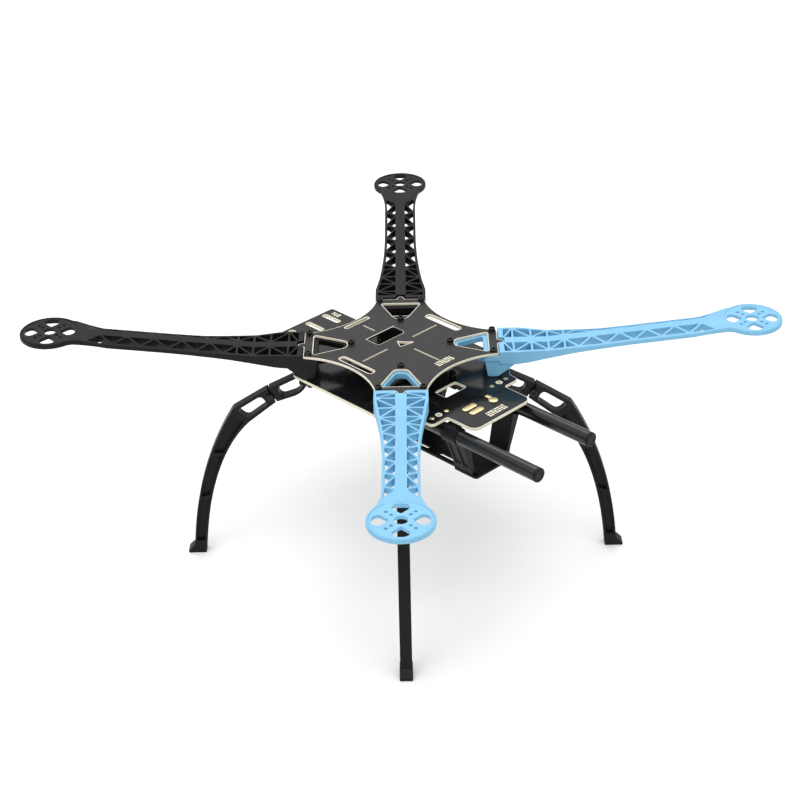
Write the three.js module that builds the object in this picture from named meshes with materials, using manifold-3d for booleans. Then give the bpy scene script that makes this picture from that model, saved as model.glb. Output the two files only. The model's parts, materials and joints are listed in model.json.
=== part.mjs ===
// Quadcopter airframe kit: two circuit-board plates, four truss arms, four curved legs and a
// battery tray that hangs from two rails. Millimetres, +X forward, +Y left, +Z up.
// The origin is on the ground, under the centre of the plates.
import * as THREE from "three";
import { mergeVertices } from "three/addons/utils/BufferGeometryUtils.js";
import Module from "manifold-3d";

const wasm = await Module();
wasm.setup();

// ---------------------------------------------------------------- driving dimensions
const GAP = 0.3; // clearance between pieces that touch

const WHEELBASE = 480; // motor to motor, across the centre
const PAD_Z = 183; // top of the motor pads above the ground
const PAD_RADIUS = 20.5;
const PAD_THICK = 4;
const PAD_FLOOR = 2.8;

const PLATE_Z = 168; // top of the top plate
const PLATE_THICK = 1.6;
const PLATE_REACH = 66.5; // centre to the end of each plate tongue
const PLATE_TONGUE = 17; // half width of a plate tongue
const PLATE_WAIST = 47.7; // centre to the middle of each concave side

const BOARD_Z = 149.6; // top of the bottom board
const BOARD_THICK = 2;
const BOARD_FRONT = 95.5;
const BOARD_REAR = -99.5;
const BOARD_TONGUE = 28; // half width of the front and rear tongues
const BOARD_SIDE = 59; // half width of the middle

const SCREW_IN = 34; // centre to the inner screw of each arm
const SCREW_OUT = 63.2; // centre to the outer screws
const SCREW_SPREAD = 15; // outer screws each side of the arm
const BLOCK_SCREW = 62.8; // centre to the screws under each arm
const BLOCK_SPREAD = 11.5;

const RAIL_RADIUS = 5;
const RAIL_WALL = 1;
const RAIL_LENGTH = 220;
const RAIL_Y = 28; // each rail's axis from the centre line
const RAIL_Z = 139; // each rail's axis above the ground
const RIGHT_RAIL_FRONT = 152; // front face of the right rail's plug
const LEFT_RAIL_FRONT = 148;
const HANGER_X = [34, -34];
const HANGER_LENGTH = 14;
const HANGER_SCREW_Y = 15.5;

const TRAY_Z = 105.5; // top of the battery tray
const TRAY_THICK = 2;
const TRAY_FRONT = 88;
const TRAY_REAR = 0;
const TRAY_TAB = 18.6; // half width where a clip stands
const TRAY_WAIST = 16.5; // half width between the clips
const TAB_LENGTH = 20;
const CLIP_X = [76, 10.5];
const CLIP_LENGTH = 17;

const LEG_WIDTH = 8;
const FOOT_WIDTH = 10;

// ---------------------------------------------------------------- materials
function finish(hex, roughness, metalness = 0) {
  return new THREE.MeshStandardMaterial({ color: hex, roughness, metalness });
}

const BLUE_NYLON = finish(0x62b4e8, 0.5);
const BLACK_NYLON = finish(0x26272a, 0.55);
const TOP_LAMINATE = finish(0x4c4c50, 0.7);
const BOARD_LAMINATE = finish(0x10161c, 0.2);
const RAIL_TUBE = finish(0x2a2b2e, 0.4);
const BLACK_STEEL = finish(0x1c1c1e, 0.45, 0.8);

// ---------------------------------------------------------------- solids and booleans
function solid(geometry) {
  const bare = geometry.clone();
  bare.deleteAttribute("normal");
  bare.deleteAttribute("uv");
  const merged = mergeVertices(bare, 1e-4);
  return new wasm.Manifold(
    new wasm.Mesh({
      numProp: 3,
      vertProperties: new Float32Array(merged.attributes.position.array),
      triVerts: new Uint32Array(merged.index.array),
    }),
  );
}

function cut(body, tools) {
  return tools.reduce((left, tool) => left.subtract(tool), body);
}

function join(first, ...others) {
  return others.reduce((sum, other) => sum.add(other), first);
}

function meshOf(name, body, material) {
  const made = body.getMesh();
  const geometry = new THREE.BufferGeometry();
  geometry.setAttribute("position", new THREE.BufferAttribute(made.vertProperties, 3));
  geometry.setIndex(new THREE.BufferAttribute(made.triVerts, 1));
  geometry.computeVertexNormals();
  const mesh = new THREE.Mesh(geometry, material);
  mesh.name = name;
  return mesh;
}

function box(x0, x1, y0, y1, z0, z1) {
  const geometry = new THREE.BoxGeometry(x1 - x0, y1 - y0, z1 - z0);
  geometry.translate((x0 + x1) / 2, (y0 + y1) / 2, (z0 + z1) / 2);
  return solid(geometry);
}

// A flat shape in X and Y, raised from z0 to z1.
function slab(shape, z0, z1, curveSegments = 8) {
  const options = { depth: z1 - z0, bevelEnabled: false, curveSegments };
  return solid(new THREE.ExtrudeGeometry(shape, options).translate(0, 0, z0));
}

// A side profile in X and Z, spread across Y from y0 to y1.
function sideSlab(shape, y0, y1, curveSegments = 8) {
  const options = { depth: y1 - y0, bevelEnabled: false, curveSegments };
  const geometry = new THREE.ExtrudeGeometry(shape, options);
  return solid(geometry.rotateX(Math.PI / 2).translate(0, y1, 0));
}

// A front profile in Y and Z, spread along X from x0 to x1.
function frontSlab(shape, x0, x1, curveSegments = 8) {
  const options = { depth: x1 - x0, bevelEnabled: false, curveSegments };
  const geometry = new THREE.ExtrudeGeometry(shape, options);
  geometry.rotateX(Math.PI / 2).rotateZ(Math.PI / 2);
  return solid(geometry.translate(x0, 0, 0));
}

function disc(x, y, radius, z0, z1, segments = 20) {
  const geometry = new THREE.CylinderGeometry(radius, radius, z1 - z0, segments);
  return solid(geometry.rotateX(Math.PI / 2).translate(x, y, (z0 + z1) / 2));
}

function bar(radius, x0, x1, y, z, segments = 24) {
  const geometry = new THREE.CylinderGeometry(radius, radius, x1 - x0, segments);
  return solid(geometry.rotateZ(Math.PI / 2).translate((x0 + x1) / 2, y, z));
}

// A closed outline through corner points, each corner rounded by its own radius.
function outline(points, radius = 0) {
  const shape = new THREE.Shape();
  points.forEach(([x, y, own = radius], i) => {
    const corner = new THREE.Vector2(x, y);
    const before = new THREE.Vector2(...points.at(i - 1).slice(0, 2));
    const after = new THREE.Vector2(...points[(i + 1) % points.length].slice(0, 2));
    const back = before.sub(corner);
    const ahead = after.sub(corner);
    const trim = Math.min(own, back.length() / 2, ahead.length() / 2);
    const start = corner.clone().addScaledVector(back.normalize(), trim);
    const end = corner.clone().addScaledVector(ahead.normalize(), trim);
    if (i === 0) shape.moveTo(start.x, start.y);
    else shape.lineTo(start.x, start.y);
    if (own > 0) shape.quadraticCurveTo(corner.x, corner.y, end.x, end.y);
  });
  shape.closePath();
  return shape;
}

function rectangle(x, y, length, width, radius = 0) {
  const [a, b] = [length / 2, width / 2];
  return outline([[x - a, y - b], [x + a, y - b], [x + a, y + b], [x - a, y + b]], radius);
}

// A convex outline moved inwards by an equal distance on every side.
function inset(points, distance) {
  const sides = points.map((p, i) => {
    const a = new THREE.Vector2(...p);
    const along = new THREE.Vector2(...points[(i + 1) % points.length]).sub(a).normalize();
    const inwards = new THREE.Vector2(-along.y, along.x).multiplyScalar(distance);
    return { at: a.add(inwards), along };
  });
  return sides.map((side, i) => {
    const last = sides.at(i - 1);
    const between = side.at.clone().sub(last.at);
    const reach = between.cross(side.along) / last.along.cross(side.along);
    const corner = last.at.clone().addScaledVector(last.along, reach);
    return [corner.x, corner.y];
  });
}

function isCounterClockwise(points) {
  return THREE.ShapeUtils.area(points.map((p) => new THREE.Vector2(...p))) > 0;
}

// Piecewise straight curve through [position, value] stops.
function through(stops, at) {
  const next = stops.findIndex(([position]) => position >= at);
  if (next === 0) return stops[0][1];
  if (next < 0) return stops.at(-1)[1];
  const [[x0, y0], [x1, y1]] = [stops[next - 1], stops[next]];
  return THREE.MathUtils.mapLinear(at, x0, x1, y0, y1);
}

// ---------------------------------------------------------------- top plate
// Drawn with its tongues along X and Y, then turned 45 degrees to lie over the arms.
const UNDER_PLATE = PLATE_Z - PLATE_THICK;
const CUT_IN = 37;
const CUT_OUT = 60;

function plateOutline() {
  const waist = PLATE_WAIST / Math.SQRT2;
  const [a, b] = [PLATE_REACH, PLATE_TONGUE];
  const hub = (a * a + b * b - 2 * waist * waist) / (2 * (a + b - 2 * waist));
  const radius = Math.SQRT2 * (hub - waist);
  const half = Math.atan2(hub - b, hub - a) - Math.PI / 4;
  const shape = new THREE.Shape();
  for (let i = 0; i < 4; i += 1) {
    const turn = (i * Math.PI) / 2;
    const at = (x, y) => new THREE.Vector2(x, y).rotateAround(new THREE.Vector2(), turn);
    const centre = at(hub, hub);
    const facing = turn + (5 * Math.PI) / 4;
    const nub = [[a, -b], [a, -3], [a + 4, -1.4], [a + 4, 1.4], [a, 3], [a, b]].map((p) => at(...p));
    nub.forEach((p, j) => (i + j === 0 ? shape.moveTo(p.x, p.y) : shape.lineTo(p.x, p.y)));
    shape.absarc(centre.x, centre.y, radius, facing + half, facing - half, true);
  }
  shape.closePath();
  return shape;
}

function topPlate() {
  const z = [UNDER_PLATE - 1, PLATE_Z + 1];
  const window = outline([[CUT_IN, -4.2], [CUT_OUT, -14.2], [CUT_OUT, 14.2], [CUT_IN, 4.2]], 3);
  const quarter = [
    slab(window, ...z, 3),
    disc(SCREW_IN, 0, 1.55, ...z, 8),
    disc(SCREW_OUT, SCREW_SPREAD, 1.55, ...z, 8),
    disc(SCREW_OUT, -SCREW_SPREAD, 1.55, ...z, 8),
  ];
  const holes = [0, 90, 180, 270].flatMap((turn) => quarter.map((hole) => hole.rotate([0, 0, turn])));
  const square = [
    slab(rectangle(0, 42, 31, 5, 2.5), ...z, 4),
    slab(rectangle(0, -42, 31, 5, 2.5), ...z, 4),
    slab(rectangle(-44, 0.5, 2.6, 22, 1.3), ...z, 3),
    slab(rectangle(-15.5, 0.7, 12, 26, 3), ...z, 3),
    slab(rectangle(24, 0.6, 23, 1.4), ...z),
    slab(rectangle(-32, 0.6, 11, 1.4), ...z),
    slab(rectangle(-0.6, 24, 1.4, 23), ...z),
    slab(rectangle(-0.6, -24, 1.4, 23), ...z),
    slab(outline([[-3.5, -1.5], [3, -4.5], [4.5, 4], [1, 1]], 0.6), ...z, 2),
  ];
  const plate = cut(slab(plateOutline(), UNDER_PLATE, PLATE_Z, 12), holes).rotate([0, 0, 45]);
  return meshOf("top_plate", cut(plate, square), TOP_LAMINATE);
}

// ---------------------------------------------------------------- bottom board
const UNDER_BOARD = BOARD_Z - BOARD_THICK;

function boardOutline() {
  const right = [
    [BOARD_FRONT, -BOARD_TONGUE, 7],
    [71, -BOARD_TONGUE, 2],
    [71, -42.5, 5],
    [63, -42.5, 3],
    [46, -BOARD_SIDE, 2],
    [-46, -BOARD_SIDE, 2],
    [-63, -42.5, 3],
    [-71, -42.5, 5],
    [-71, -BOARD_TONGUE, 2],
    [BOARD_REAR, -BOARD_TONGUE, 3],
  ];
  const left = right.map(([x, y, radius]) => [x, -y, radius]).reverse();
  return outline([...left, ...right].reverse());
}

function bottomBoard() {
  const z = [UNDER_BOARD - 1, BOARD_Z + 1];
  const holes = [slab(rectangle(47, 0, 10.5, 20, 2), ...z, 2)];
  for (const y of [-16.5, 0, 16.5]) holes.push(slab(rectangle(-88, y, 16, 3.4, 1.5), ...z, 2));
  for (const side of [-1, 1]) {
    for (const x of [64.5, -64.5]) holes.push(disc(x, side * 29.6, 1.6, ...z, 8));
    for (const x of HANGER_X) holes.push(disc(x, side * HANGER_SCREW_Y, 1.55, ...z, 8));
  }
  for (const turn of [45, 135, 225, 315]) {
    for (const side of [-1, 1]) {
      holes.push(disc(BLOCK_SCREW, side * BLOCK_SPREAD, 1.55, ...z, 8).rotate([0, 0, turn]));
    }
  }
  return meshOf("bottom_board", cut(slab(boardOutline(), UNDER_BOARD, BOARD_Z, 2), holes), BOARD_LAMINATE);
}

// ---------------------------------------------------------------- arms
// Drawn along +X from the centre of the plates, then turned to their corner.
const PAD_AT = WHEELBASE / 2;
const ROOT_TOP = UNDER_PLATE - GAP;
const ROOT_THICK = 4.1;
const ROOT_WIDE = 18; // half width of the root
const DECK_START = 67;
const SPINE = 3.8; // half width of the flat band along the top
const WALL = 2;
const DECK_RISE = [[100, 169.3], [223, PAD_Z]];
const SHOULDER_DROP = [[85, 0], [135, 3.1], [205, 3.1], [223, 0]];
const KEEL = [[78, 159.6], [87, 160.1], [118, 164.8], [160, 169.9], [200, 174.4], [223, PAD_Z - PAD_THICK]];
const DECK_STATIONS = [67, 85, 100, 118, 135, 165, 205, 214, 223, 228];

function armHalfWidth(x) {
  const root = Math.min(Math.max((x - 80) / 85, 0), 1);
  const tip = Math.max(x - 205, 0);
  return 11.7 + (ROOT_WIDE - 11.7) * (1 - root) ** 2 + 0.008 * tip ** 2;
}

// The arm's beam: a flat band along the top, shoulders that fall to each side, a flat keel.
function armBeam() {
  const across = [-1, -SPINE, SPINE, 1];
  const geometry = new THREE.BoxGeometry(1, 1, 1, DECK_STATIONS.length - 1, across.length - 1, 1);
  const spot = geometry.attributes.position;
  for (let i = 0; i < spot.count; i += 1) {
    const x = DECK_STATIONS[Math.round((spot.getX(i) + 0.5) * (DECK_STATIONS.length - 1))];
    const lane = Math.round((spot.getY(i) + 0.5) * (across.length - 1));
    const edge = lane === 0 || lane === across.length - 1;
    const y = edge ? across[lane] * armHalfWidth(x) : across[lane];
    const top = through(DECK_RISE, x) - (edge ? through(SHOULDER_DROP, x) : 0);
    spot.setXYZ(i, x, y, spot.getZ(i) > 0 ? top : through(KEEL, x));
  }
  return solid(geometry);
}

// Triangular windows between the bars of the truss, on one side of the arm.
const POST_BAYS = [70, 77, 89.5, 101, 112];
const LAST_WINDOW = 215;
const BAR = 1.7;

function trussTriangles() {
  const near = () => SPINE - BAR / 2;
  const far = (x) => armHalfWidth(x) - WALL + BAR / 2;
  const triangles = [];
  POST_BAYS.slice(1).forEach((x1, i) => {
    const x0 = POST_BAYS[i];
    const [high, low] = i % 2 ? [x0, x1] : [x1, x0];
    triangles.push([[x0, near()], [x1, near()], [high, far(high)]]);
    triangles.push([[x0, far(x0)], [x1, far(x1)], [low, near()]]);
  });
  const first = POST_BAYS.at(-1);
  const step = (LAST_WINDOW - first) / 11;
  for (let i = 0; i < 11; i += 1) {
    const [x0, x1, x2] = [first + (i - 1) * step, first + i * step, first + (i + 1) * step];
    const [tip, base] = i % 2 ? [far, near] : [near, far];
    const start = i === 0 ? x1 : x0;
    triangles.push([[start, base(start)], [x2, base(x2)], [i === 0 ? start : x1, tip(x1)]]);
  }
  return triangles;
}

function trussWindows() {
  const windows = [];
  for (const corners of trussTriangles()) {
    const ordered = isCounterClockwise(corners) ? corners : corners.toReversed();
    const open = inset(ordered, BAR / 2);
    windows.push(slab(outline(open), 140, 200));
    windows.push(slab(outline(open.map(([x, y]) => [x, -y]).reverse()), 140, 200));
  }
  return windows;
}

// A rounded wedge that points at the middle of the motor pad.
function padWindow(turn) {
  const wedge = outline([[7.6, 0, 1], [13.2, -4.9, 3], [17, -2.6, 3], [17, 2.6, 3], [13.2, 4.9, 3]]);
  return slab(wedge, 170, 190, 2).rotate([0, 0, turn]).translate([PAD_AT, 0, 0]);
}

function motorPad() {
  const [bottom, chamfer] = [PAD_Z - PAD_THICK, 1.2];
  const profile = [
    [0, bottom],
    [PAD_RADIUS, bottom],
    [PAD_RADIUS, PAD_Z - chamfer],
    [PAD_RADIUS - chamfer, PAD_Z],
    [0, PAD_Z],
  ].map((p) => new THREE.Vector2(...p));
  const turned = new THREE.LatheGeometry(profile, 28).rotateX(Math.PI / 2);
  return solid(turned).translate([PAD_AT, 0, 0]);
}

function padHoles() {
  const under = disc(PAD_AT, 0, 18.2, PAD_Z - PAD_THICK - 1, PAD_Z - PAD_FLOOR, 20);
  const centre = disc(PAD_AT, 0, 4.3, 170, 190, 16);
  const holes = [under, centre];
  for (let quarter = 0; quarter < 4; quarter += 1) {
    const angle = Math.PI / 4 + (quarter * Math.PI) / 2;
    for (const circle of [8, 12.2]) {
      const [x, y] = [circle * Math.cos(angle), circle * Math.sin(angle)];
      holes.push(disc(PAD_AT + x, y, 1.2, 170, 190, 6));
    }
    holes.push(padWindow(quarter * 90));
  }
  return holes;
}

// The root lies under the top plate; its block stands on the bottom board.
function armRoot() {
  const foot = BOARD_Z + GAP;
  const floor = ROOT_TOP - ROOT_THICK;
  const plan = outline([[30.5, -4.5], [33, -6.6], [57, -ROOT_WIDE], [68, -ROOT_WIDE],
    [68, ROOT_WIDE], [57, ROOT_WIDE], [33, 6.6], [30.5, 4.5]]);
  const block = outline([[56.7, floor + 1], [59.3, foot], [66.3, foot], [78.4, 159.7],
    [78.4, floor + 1]]);
  return join(slab(plan, floor, ROOT_TOP), sideSlab(block, -17.3, 17.3));
}

function rootHoles() {
  const opening = outline([[39.3, -3.2], [56.7, -11.4], [56.7, 11.4], [39.3, 3.2]], 2);
  const holes = [
    slab(opening, 140, 200, 3),
    box(55, 70, -7.5, 7.5, BOARD_Z + 3, ROOT_TOP - ROOT_THICK - 1.5),
    box(DECK_START - 1, 71.2, -3.4, 3.4, ROOT_TOP, 175),
    disc(SCREW_IN, 0, 1.55, 150, 170, 8),
  ];
  for (const side of [-1, 1]) {
    holes.push(disc(SCREW_OUT, side * SCREW_SPREAD, 1.55, ROOT_TOP - 7, 170, 8));
    holes.push(disc(BLOCK_SCREW, side * BLOCK_SPREAD, 1.55, 148, BOARD_Z + 8.5, 8));
  }
  return holes;
}

function arm() {
  const beam = cut(armBeam(), trussWindows());
  const tip = cut(join(beam, motorPad()), padHoles());
  return cut(join(tip, armRoot()), rootHoles());
}

// ---------------------------------------------------------------- legs
// Each leg is an upper bracket under the bottom board and a curved lower leg bolted to it.
const FOOT_TOP = UNDER_BOARD - GAP;
const FLANGE = 2.8;
const BOLT_AT = [91.6, 129.8];

function legBracket() {
  const plate = slab(rectangle(63.5, 0, 14, 30, 3), FOOT_TOP - FLANGE, FOOT_TOP, 3);
  const rim = outline([[58.5, FOOT_TOP], [70, FOOT_TOP], [92.6, 136], [87.2, 125.6, 1],
    [70.5, 131.3, 5], [64, 140.5, 4], [62, FOOT_TOP - FLANGE, 1]]);
  const window = outline([[71.6, 143.6], [86.2, 136.3], [82.6, 129.6], [72.4, 133.1], [68.4, 139]], 3);
  const tongue = outline([[88, 132], [92.4, 134.4], [95.5, 130.4], [92.8, 125.7], [88, 127.4]], 1);
  const bolt = disc(0, 0, 1.7, -9, 9, 10).rotate([90, 0, 0]).translate([BOLT_AT[0], 0, BOLT_AT[1]]);
  const holes = [sideSlab(window, -9, 9, 3), bolt];
  for (const side of [-1, 1]) holes.push(disc(BLOCK_SCREW, side * BLOCK_SPREAD, 1.55, 140, 150, 8));
  const rimBody = sideSlab(rim, -LEG_WIDTH / 2, LEG_WIDTH / 2, 3);
  return cut(join(plate, rimBody, sideSlab(tongue, -1.3, 1.3, 2)), holes);
}

const LEG_KINK = 0.22; // share of the leg's length above the kink
const OUTER_TOP = [[93.6, 135.6], [118.9, 118.6]];
const OUTER_BEND = new THREE.QuadraticBezierCurve(
  new THREE.Vector2(118.9, 118.6),
  new THREE.Vector2(149, 69),
  new THREE.Vector2(153.4, 3),
);
const INNER_TOP = [[88.2, 125], [108, 110.8]];
const INNER_BEND = new THREE.QuadraticBezierCurve(
  new THREE.Vector2(108, 110.8),
  new THREE.Vector2(140.6, 82),
  new THREE.Vector2(145.4, 3),
);

// A point of the leg's side view: along runs from the joint to the foot, depth from back to front.
function legPoint(along, depth) {
  const edge = (top, bend) => {
    if (along >= LEG_KINK) return bend.getPoint((along - LEG_KINK) / (1 - LEG_KINK));
    const share = along / LEG_KINK;
    return new THREE.Vector2(...top[0]).lerp(new THREE.Vector2(...top[1]), share);
  };
  return edge(OUTER_TOP, OUTER_BEND).lerp(edge(INNER_TOP, INNER_BEND), depth);
}

function legSlice(from, to, back, front, steps) {
  const points = [];
  for (let i = 0; i <= steps; i += 1) points.push(legPoint(from + ((to - from) * i) / steps, back));
  for (let i = steps; i >= 0; i -= 1) points.push(legPoint(from + ((to - from) * i) / steps, front));
  return new THREE.Shape(points);
}

function lowerLeg() {
  const half = LEG_WIDTH / 2;
  const body = sideSlab(legSlice(0, 1, 0, 1, 14), -half, half);
  const foot = outline([[145.2, 0], [158.2, 0, 1], [158.2, 3.2, 1], [153.4, 10, 1], [145.2, 10]]);
  const footBody = sideSlab(foot, -FOOT_WIDTH / 2, FOOT_WIDTH / 2, 2);
  const pockets = [];
  const panels = [[0.245, 0.5, 4], [0.515, 0.74, 3], [0.755, 0.94, 2]];
  for (const [from, to, steps] of panels) {
    const panel = legSlice(from, to, 0.19, 0.81, steps);
    pockets.push(sideSlab(panel, 1, half + 1), sideSlab(panel, -half - 1, -1));
  }
  pockets.push(sideSlab(legSlice(0.055, 0.215, 0.2, 0.8, 2), -9, 9));
  const slot = outline([[86, 137], [92.4, 137], [98, 130.4], [92.8, 122.5], [86, 122.5]], 1);
  pockets.push(sideSlab(slot, -1.3 - GAP, 1.3 + GAP, 2));
  return join(cut(body, pockets), footBody);
}

// ---------------------------------------------------------------- rails, hangers, tray
const RING = 7.2;

function rail(front, side) {
  const wall = [
    [RAIL_RADIUS - RAIL_WALL, 0],
    [RAIL_RADIUS, 0],
    [RAIL_RADIUS, RAIL_LENGTH - 3.6],
    [RAIL_RADIUS - RAIL_WALL, RAIL_LENGTH - 3.6],
    [RAIL_RADIUS - RAIL_WALL, 0],
  ].map((p) => new THREE.Vector2(...p));
  const tube = new THREE.LatheGeometry(wall, 20).rotateZ(-Math.PI / 2);
  tube.translate(front - RAIL_LENGTH + 1.8, side * RAIL_Y, RAIL_Z);
  return solid(tube);
}

function railPlug(face, inwards, side) {
  const bore = RAIL_RADIUS - RAIL_WALL - GAP;
  const profile = [[0, 0], [4.2, 0], [RAIL_RADIUS, 0.6], [RAIL_RADIUS, 1.5], [bore, 1.5],
    [bore, 9], [0, 9]].map((p) => new THREE.Vector2(...p));
  const turned = new THREE.LatheGeometry(profile, 16).rotateZ(-inwards * Math.PI / 2);
  return solid(turned.translate(face, side * RAIL_Y, RAIL_Z));
}

function ringAround(x0, x1, side) {
  return bar(RING, x0, x1, side * RAIL_Y, RAIL_Z, 20);
}

function railBore(x0, x1, side) {
  return bar(RAIL_RADIUS + GAP, x0 - 1, x1 + 1, side * RAIL_Y, RAIL_Z, 20);
}

function hanger(x, side) {
  const [x0, x1] = [x - HANGER_LENGTH / 2, x + HANGER_LENGTH / 2];
  const top = UNDER_BOARD - GAP;
  const inner = HANGER_SCREW_Y - 5;
  const yoke = outline([[side * inner, top], [side * inner, top - 5], [side * (RAIL_Y - 8), top - 5],
    [side * (RAIL_Y - RING), RAIL_Z], [side * (RAIL_Y + RING), RAIL_Z], [side * (RAIL_Y + RING), top]]);
  const body = join(frontSlab(yoke, x0, x1), ringAround(x0, x1, side));
  const hole = disc(x, side * HANGER_SCREW_Y, 1.55, top - 9, top + 1, 8);
  return cut(body, [railBore(x0, x1, side), hole]);
}

function trayClip(x, side) {
  const [x0, x1] = [x - CLIP_LENGTH / 2, x + CLIP_LENGTH / 2];
  const rest = TRAY_Z + GAP;
  const strut = outline([[side * 13.2, rest], [side * 18.4, rest], [side * 19.4, rest + 5],
    [side * 28, RAIL_Z - 5.5], [side * 21.5, RAIL_Z - 2.5], [side * 16, rest + 2.6], [side * 13.2, rest + 2.6]]);
  const web = frontSlab(strut, x0, x1);
  const outer = outline([[side * 18.6, rest + 5], [side * 25.8, RAIL_Z - 9.5], [side * 30, RAIL_Z - 9],
    [side * 22, rest + 5]]);
  const recess = frontSlab(outer, x0 + 2, x1 - 2);
  const ridge = frontSlab(strut, x - 1, x + 1);
  return cut(join(cut(web, [recess]), ridge, ringAround(x0, x1, side)), [railBore(x0, x1, side)]);
}

function batteryTray() {
  const side = (sign) => [
    [TRAY_FRONT, sign * TRAY_TAB, 3],
    [TRAY_FRONT - TAB_LENGTH, sign * TRAY_TAB, 1],
    [TRAY_FRONT - TAB_LENGTH - 2, sign * TRAY_WAIST, 1],
    [TRAY_REAR + TAB_LENGTH + 2, sign * TRAY_WAIST, 1],
    [TRAY_REAR + TAB_LENGTH, sign * TRAY_TAB, 1],
    [TRAY_REAR, sign * TRAY_TAB, 3],
  ];
  const plan = outline([...side(1), ...side(-1).reverse()]);
  const straps = [];
  for (const x of [30, 56]) {
    for (const y of [-12, 12]) straps.push(slab(rectangle(x, y, 16, 3, 1.4), 100, 110, 2));
  }
  return cut(slab(plan, TRAY_Z - TRAY_THICK, TRAY_Z, 2), straps);
}

// ---------------------------------------------------------------- fasteners
// A cap screw with a hexagon socket: the head's seat is at height 0 and the shank points down.
function capScrew(shank) {
  const head = disc(0, 0, 2.3, 0, 2.6, 12);
  const socket = disc(0, 0, 1.25, 1.1, 4, 6);
  return join(cut(head, [socket]), disc(0, 0, 1.25, -shank, 0.5, 8));
}

const TOP_SCREW = capScrew(6.5);
const BLOCK_SCREW_BODY = capScrew(BOARD_THICK + FLANGE + 6.5);
const HANGER_SCREW = capScrew(BOARD_THICK + 4);

function legBolt() {
  const half = LEG_WIDTH / 2 + GAP;
  const shank = disc(0, 0, 1.35, -half - 2, half + 0.5, 8);
  const head = cut(disc(0, 0, 2.5, half, half + 2, 12), [disc(0, 0, 1.2, half + 0.8, half + 4, 6)]);
  const nut = disc(0, 0, 2.7, -half - 1.8, -half, 6);
  return join(shank, head, nut).rotate([90, 0, 0]).translate([BOLT_AT[0], 0, BOLT_AT[1]]);
}

// ---------------------------------------------------------------- assembly
const airframe = new THREE.Group();
airframe.add(topPlate(), bottomBoard());

const CORNERS = [
  { name: "front_left", turn: 45, nylon: BLUE_NYLON },
  { name: "rear_left", turn: 135, nylon: BLACK_NYLON },
  { name: "rear_right", turn: 225, nylon: BLACK_NYLON },
  { name: "front_right", turn: 315, nylon: BLUE_NYLON },
];
const armBody = arm();
const bracketBody = legBracket();
const boltHole = disc(0, 0, 1.7, -9, 9, 10).rotate([90, 0, 0]).translate([BOLT_AT[0], 0, BOLT_AT[1]]);
const legBody = cut(lowerLeg(), [boltHole]);

for (const { name, turn, nylon } of CORNERS) {
  const corner = new THREE.Group();
  corner.rotation.z = THREE.MathUtils.degToRad(turn);
  corner.add(meshOf(`arm_${name}`, armBody, nylon));
  corner.add(meshOf(`leg_bracket_${name}`, bracketBody, BLACK_NYLON));
  corner.add(meshOf(`leg_${name}`, legBody, BLACK_NYLON));
  corner.add(meshOf(`leg_bolt_${name}`, legBolt(), BLACK_STEEL));
  const plateScrews = [["inner", SCREW_IN, 0], ["outer_a", SCREW_OUT, SCREW_SPREAD],
    ["outer_b", SCREW_OUT, -SCREW_SPREAD]];
  for (const [place, x, y] of plateScrews) {
    const screw = meshOf(`plate_screw_${name}_${place}`, TOP_SCREW, BLACK_STEEL);
    screw.position.set(x, y, PLATE_Z + GAP);
    corner.add(screw);
  }
  for (const [place, side] of [["a", 1], ["b", -1]]) {
    const screw = meshOf(`leg_screw_${name}_${place}`, BLOCK_SCREW_BODY, BLACK_STEEL);
    screw.rotation.x = Math.PI;
    screw.position.set(BLOCK_SCREW, side * BLOCK_SPREAD, FOOT_TOP - FLANGE - GAP);
    corner.add(screw);
  }
  airframe.add(corner);
}

const SIDES = [
  { name: "left", side: 1, front: LEFT_RAIL_FRONT },
  { name: "right", side: -1, front: RIGHT_RAIL_FRONT },
];
for (const { name, side, front } of SIDES) {
  airframe.add(meshOf(`${name}_rail`, rail(front, side), RAIL_TUBE));
  airframe.add(meshOf(`${name}_rail_plug_front`, railPlug(front, -1, side), BLACK_NYLON));
  airframe.add(meshOf(`${name}_rail_plug_rear`, railPlug(front - RAIL_LENGTH, 1, side), BLACK_NYLON));
  HANGER_X.forEach((x, i) => {
    const place = `${name}_${["front", "rear"][i]}`;
    airframe.add(meshOf(`rail_hanger_${place}`, hanger(x, side), BLACK_NYLON));
    const screw = meshOf(`hanger_screw_${place}`, HANGER_SCREW, BLACK_STEEL);
    screw.position.set(x, side * HANGER_SCREW_Y, BOARD_Z + GAP);
    airframe.add(screw);
  });
  CLIP_X.forEach((x, i) => {
    airframe.add(meshOf(`tray_clip_${name}_${["front", "rear"][i]}`, trayClip(x, side), BLACK_NYLON));
  });
}
airframe.add(meshOf("battery_tray", batteryTray(), BLACK_NYLON));

export default airframe;
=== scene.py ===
"""Looks of the quadcopter airframe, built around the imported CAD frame.

Every piece is drawn in millimetres in the row frame (+X forward, +Y left, +Z up) and turned into
metres when its object is made. Arms, brackets and legs are drawn along +X, then turned to their corner.
"""

import json
import math

import bmesh
import bpy
from mathutils import Matrix, Vector


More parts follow.
